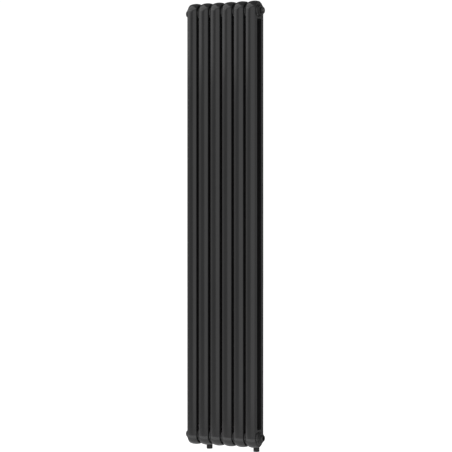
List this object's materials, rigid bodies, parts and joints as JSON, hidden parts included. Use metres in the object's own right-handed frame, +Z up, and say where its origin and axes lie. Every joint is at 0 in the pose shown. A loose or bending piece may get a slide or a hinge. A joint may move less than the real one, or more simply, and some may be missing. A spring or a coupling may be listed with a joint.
{
  "type": "column radiator",
  "caption": "Tall vertical two-column sectional radiator with end plugs, a rotating air vent and two threaded connection stubs underneath.",
  "frame": {"origin": "under the middle of the radiator, level with the open ends of the two connection stubs, midway between the room face and the wall face", "axes": "+X along the row of sections towards the air vent end, -Y towards the room, +Y towards the wall, +Z up along the columns"},
  "size_m": [0.294, 0.068, 1.514],
  "materials": {
    "section_paint": "satin anthracite powder coat on steel",
    "plug_paint": "satin anthracite powder coat on turned steel",
    "stub_paint": "thin dark coat over a cut pipe thread",
    "bare_steel": "machined steel, unpainted",
    "seal_rubber": "black sealing rubber",
    "collar_plastic": "anthracite moulded plastic, satin",
    "bleed_metal": "nickel-plated brass, slightly dulled"
  },
  "bodies": {
    "radiator": {"section_1_top_head": "section_paint", "section_2_top_head": "section_paint", "section_3_top_head": "section_paint", "section_4_top_head": "section_paint", "section_5_top_head": "section_paint", "section_6_top_head": "section_paint", "section_1_bottom_head": "section_paint", "section_2_bottom_head": "section_paint", "section_3_bottom_head": "section_paint", "section_4_bottom_head": "section_paint", "section_5_bottom_head": "section_paint", "section_6_bottom_head": "section_paint", "section_1_front_column": "section_paint", "section_2_front_column": "section_paint", "section_3_front_column": "section_paint", "section_4_front_column": "section_paint", "section_5_front_column": "section_paint", "section_6_front_column": "section_paint", "section_1_rear_column": "section_paint", "section_2_rear_column": "section_paint", "section_3_rear_column": "section_paint", "section_4_rear_column": "section_paint", "section_5_rear_column": "section_paint", "section_6_rear_column": "section_paint", "top_nipple_1": "bare_steel", "top_nipple_2": "bare_steel", "top_nipple_3": "bare_steel", "top_nipple_4": "bare_steel", "top_nipple_5": "bare_steel", "bottom_nipple_1": "bare_steel", "bottom_nipple_2": "bare_steel", "bottom_nipple_3": "bare_steel", "bottom_nipple_4": "bare_steel", "bottom_nipple_5": "bare_steel", "top_seal_1": "seal_rubber", "top_seal_2": "seal_rubber", "top_seal_3": "seal_rubber", "top_seal_4": "seal_rubber", "top_seal_5": "seal_rubber", "bottom_seal_1": "seal_rubber", "bottom_seal_2": "seal_rubber", "bottom_seal_3": "seal_rubber", "bottom_seal_4": "seal_rubber", "bottom_seal_5": "seal_rubber", "top_left_plug": "plug_paint", "bottom_left_plug": "plug_paint", "bottom_right_plug": "plug_paint", "vent_plug": "plug_paint", "top_left_plug_seal": "seal_rubber", "bottom_left_plug_seal": "seal_rubber", "bottom_right_plug_seal": "seal_rubber", "vent_plug_seal": "seal_rubber", "flow_stub": "stub_paint", "return_stub": "stub_paint", "flow_separator": "bare_steel"},
    "outlet_collar": {"vent_outlet_collar": "collar_plastic"},
    "bleed_seal": {"bleed_seal_pad": "seal_rubber"},
    "bleed_screw": {"bleed_screw": "bleed_metal"}
  },
  "joints": [
    {"name": "collar_turn", "type": "hinge", "parent": "radiator", "child": "outlet_collar", "pos_m": [0.135, 0, 1.48], "axis": [1, 0, 0], "continuous": true},
    {"name": "bleed_travel", "type": "slide", "parent": "radiator", "child": "bleed_seal", "axis": [1, 0, 0], "range_m": [0, 0.0016]},
    {"name": "bleed_turn", "type": "hinge", "parent": "bleed_seal", "child": "bleed_screw", "pos_m": [0.135, 0, 1.48], "axis": [1, 0, 0], "range_deg": [0, 720]}
  ],
  "couplings": [
    {"joint": "bleed_travel", "follows": "bleed_turn", "m_per_rad": 0.00012732}
  ]
}
